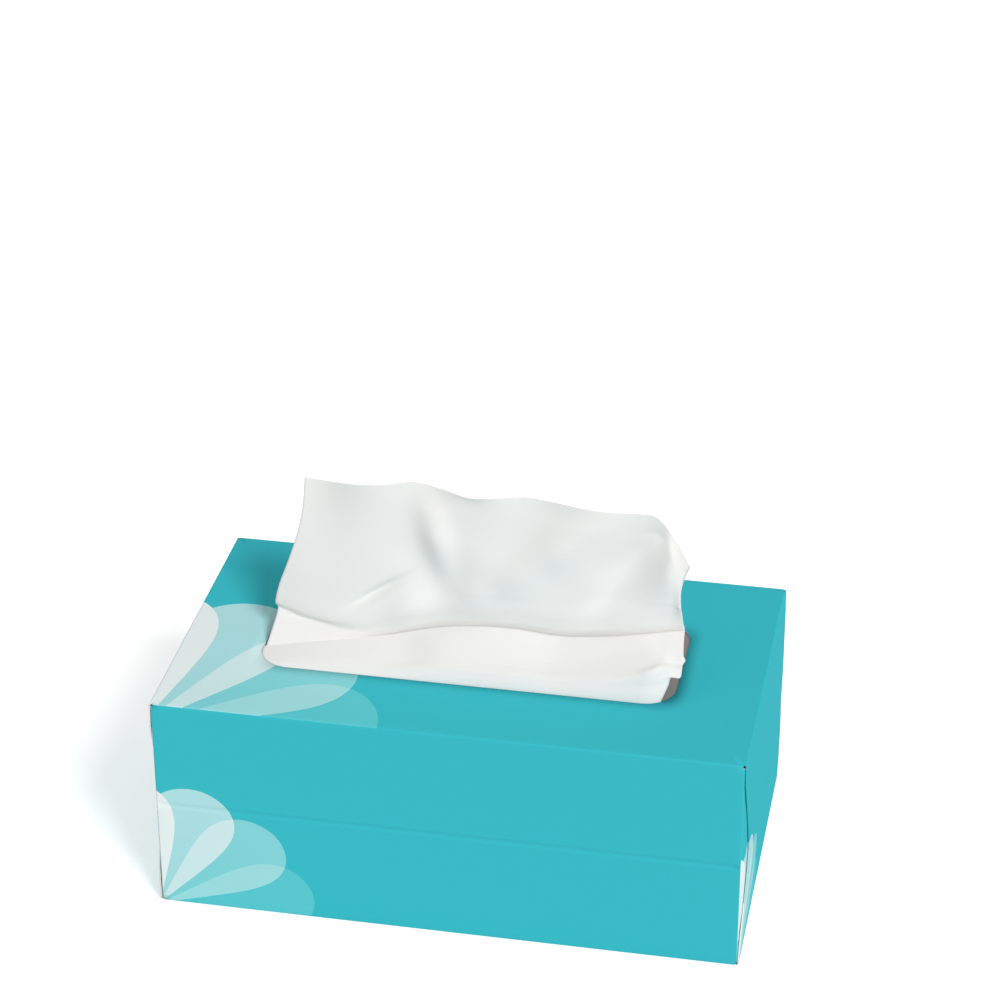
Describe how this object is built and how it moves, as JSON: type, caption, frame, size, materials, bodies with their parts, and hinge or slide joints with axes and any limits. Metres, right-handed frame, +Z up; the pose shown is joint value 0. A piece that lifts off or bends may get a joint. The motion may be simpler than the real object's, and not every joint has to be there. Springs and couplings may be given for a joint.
{
  "type": "tissue box",
  "caption": "Flat glued paperboard tissue box with a long window, a slit film, a stack of tissues and a raised sheet, printed with petal fans.",
  "frame": {"origin": "bottom centre of the carton, on the surface that it stands on", "axes": "+X along the box to the right of its front, +Y from the front to the back, +Z up"},
  "size_m": [0.212, 0.12, 0.1485],
  "materials": {
    "printed_paperboard": "matt varnish over teal ink",
    "slit_film": "thin hazy polyethylene",
    "tissue": "soft white tissue, matt",
    "print_white": "matt print",
    "print_pale": "matt print",
    "print_pale_overlap": "matt print",
    "print_light": "matt print",
    "print_light_overlap": "matt print",
    "print_faint": "matt print"
  },
  "bodies": {
    "root": {"carton": "printed_paperboard", "slit_film": "slit_film", "tissue_stack": "tissue", "raised_tissue": "tissue", "petals_white": "print_white", "petals_pale": "print_pale", "petals_pale_overlap": "print_pale_overlap", "petals_light": "print_light", "petals_light_overlap": "print_light_overlap", "petals_faint": "print_faint"}
  },
  "joints": []
}
